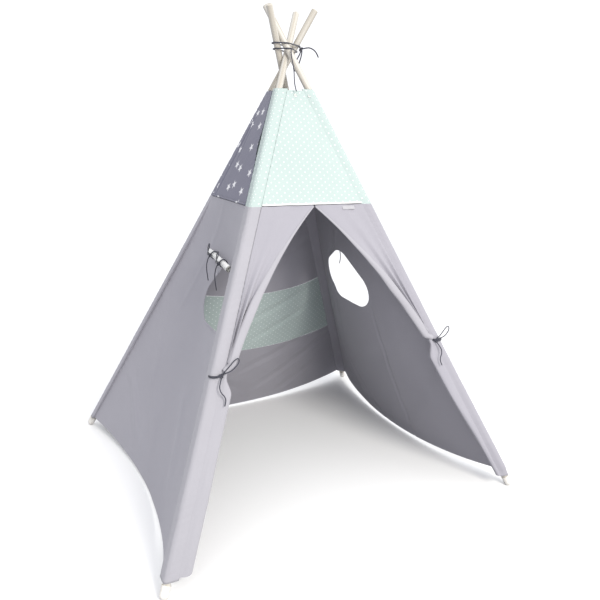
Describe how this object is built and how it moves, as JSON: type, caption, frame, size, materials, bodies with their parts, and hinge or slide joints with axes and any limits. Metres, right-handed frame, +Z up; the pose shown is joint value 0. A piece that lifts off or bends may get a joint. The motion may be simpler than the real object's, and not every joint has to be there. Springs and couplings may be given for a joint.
{
  "type": "teepee tent",
  "caption": "Four-pole play teepee with a panelled cotton cover, tied-back door flaps, side windows with rolled blinds, and a corded crossing; the poles gather inwards to fold.",
  "frame": {"origin": "the floor point midway between the four feet", "axes": "+Z up, the door faces -Y, +X to the right of someone facing the back from the door"},
  "size_m": [1.225, 1.107, 1.5433],
  "materials": {
    "pole_wood": "sanded, unvarnished pine",
    "foot_cap": "matte off-white cap",
    "grey_cotton": "plain-weave cotton, lilac grey",
    "mint_cotton": "plain-weave cotton, mint with fine white pin dots",
    "star_cotton": "plain-weave cotton, dusk grey with small white stars",
    "white_trim": "white cotton tape and lining",
    "tie_cord": "dark navy braided cotton cord",
    "eyelet_metal": "pressed metal eyelet",
    "blank_tag": "blank woven tag"
  },
  "bodies": {
    "cover": {"front_upper_panel": "mint_cotton", "back_upper_panel": "mint_cotton", "back_mint_band": "mint_cotton", "left_upper_panel": "star_cotton", "right_upper_panel": "star_cotton", "left_lower_panel": "grey_cotton", "right_lower_panel": "grey_cotton", "back_top_band": "grey_cotton", "back_bottom_band": "grey_cotton", "door_flap_left": "grey_cotton", "door_flap_right": "grey_cotton", "door_hem_left": "grey_cotton", "door_hem_right": "grey_cotton", "seam_piping_front": "white_trim", "seam_piping_left": "white_trim", "seam_piping_right": "white_trim", "window_binding_left": "white_trim", "window_binding_right": "white_trim", "blind_roll_left": "white_trim", "blind_roll_right": "white_trim", "label_tag": "blank_tag", "eyelet_left": "eyelet_metal", "eyelet_right": "eyelet_metal", "blind_tie_left_a": "tie_cord", "blind_tie_left_b": "tie_cord", "blind_tie_right_a": "tie_cord", "blind_tie_right_b": "tie_cord", "blind_loop_left_a": "tie_cord", "blind_loop_left_b": "tie_cord", "blind_loop_right_a": "tie_cord", "blind_loop_right_b": "tie_cord", "blind_tail_left_a": "tie_cord", "blind_tail_left_b": "tie_cord", "blind_tail_right_a": "tie_cord", "blind_tail_right_b": "tie_cord", "flap_tie_left": "tie_cord", "flap_tie_right": "tie_cord", "flap_loop_left": "tie_cord", "flap_loop_right": "tie_cord", "flap_tail_left": "tie_cord", "flap_tail_right": "tie_cord", "lashing_wrap_lower": "tie_cord", "lashing_wrap_upper": "tie_cord", "lashing_knot": "tie_cord", "lashing_loop": "tie_cord", "lashing_tail": "tie_cord", "lacing_cord": "tie_cord"},
    "leg_fl": {"pole_fl": "pole_wood", "foot_cap_fl": "foot_cap", "sleeve_fl": "grey_cotton"},
    "leg_fr": {"pole_fr": "pole_wood", "foot_cap_fr": "foot_cap", "sleeve_fr": "grey_cotton"},
    "leg_br": {"pole_br": "pole_wood", "foot_cap_br": "foot_cap", "sleeve_br": "grey_cotton"},
    "leg_bl": {"pole_bl": "pole_wood", "foot_cap_bl": "foot_cap", "sleeve_bl": "grey_cotton"}
  },
  "joints": [
    {"name": "fold_fl", "type": "hinge", "parent": "cover", "child": "leg_fl", "pos_m": [-0.012, -0.007, 1.37], "axis": [0.6723, -0.7403, 0], "range_deg": [0, 26], "deforming": ["lashing_wrap_lower", "lashing_wrap_upper"]},
    {"name": "fold_fr", "type": "hinge", "parent": "cover", "child": "leg_fr", "pos_m": [0.012, -0.03, 1.37], "axis": [0.656, 0.7548, 0], "range_deg": [0, 26]},
    {"name": "fold_br", "type": "hinge", "parent": "cover", "child": "leg_br", "pos_m": [-0.011, 0.023, 1.37], "axis": [-0.6467, 0.7628, 0], "range_deg": [0, 26]},
    {"name": "fold_bl", "type": "hinge", "parent": "cover", "child": "leg_bl", "pos_m": [0.017, 0.0492, 1.37], "axis": [-0.6233, -0.782, 0], "range_deg": [0, 26]}
  ],
  "couplings": [
    {"joint": "fold_fr", "follows": "fold_fl", "ratio": 1},
    {"joint": "fold_br", "follows": "fold_fl", "ratio": 1},
    {"joint": "fold_bl", "follows": "fold_fl", "ratio": 1}
  ]
}
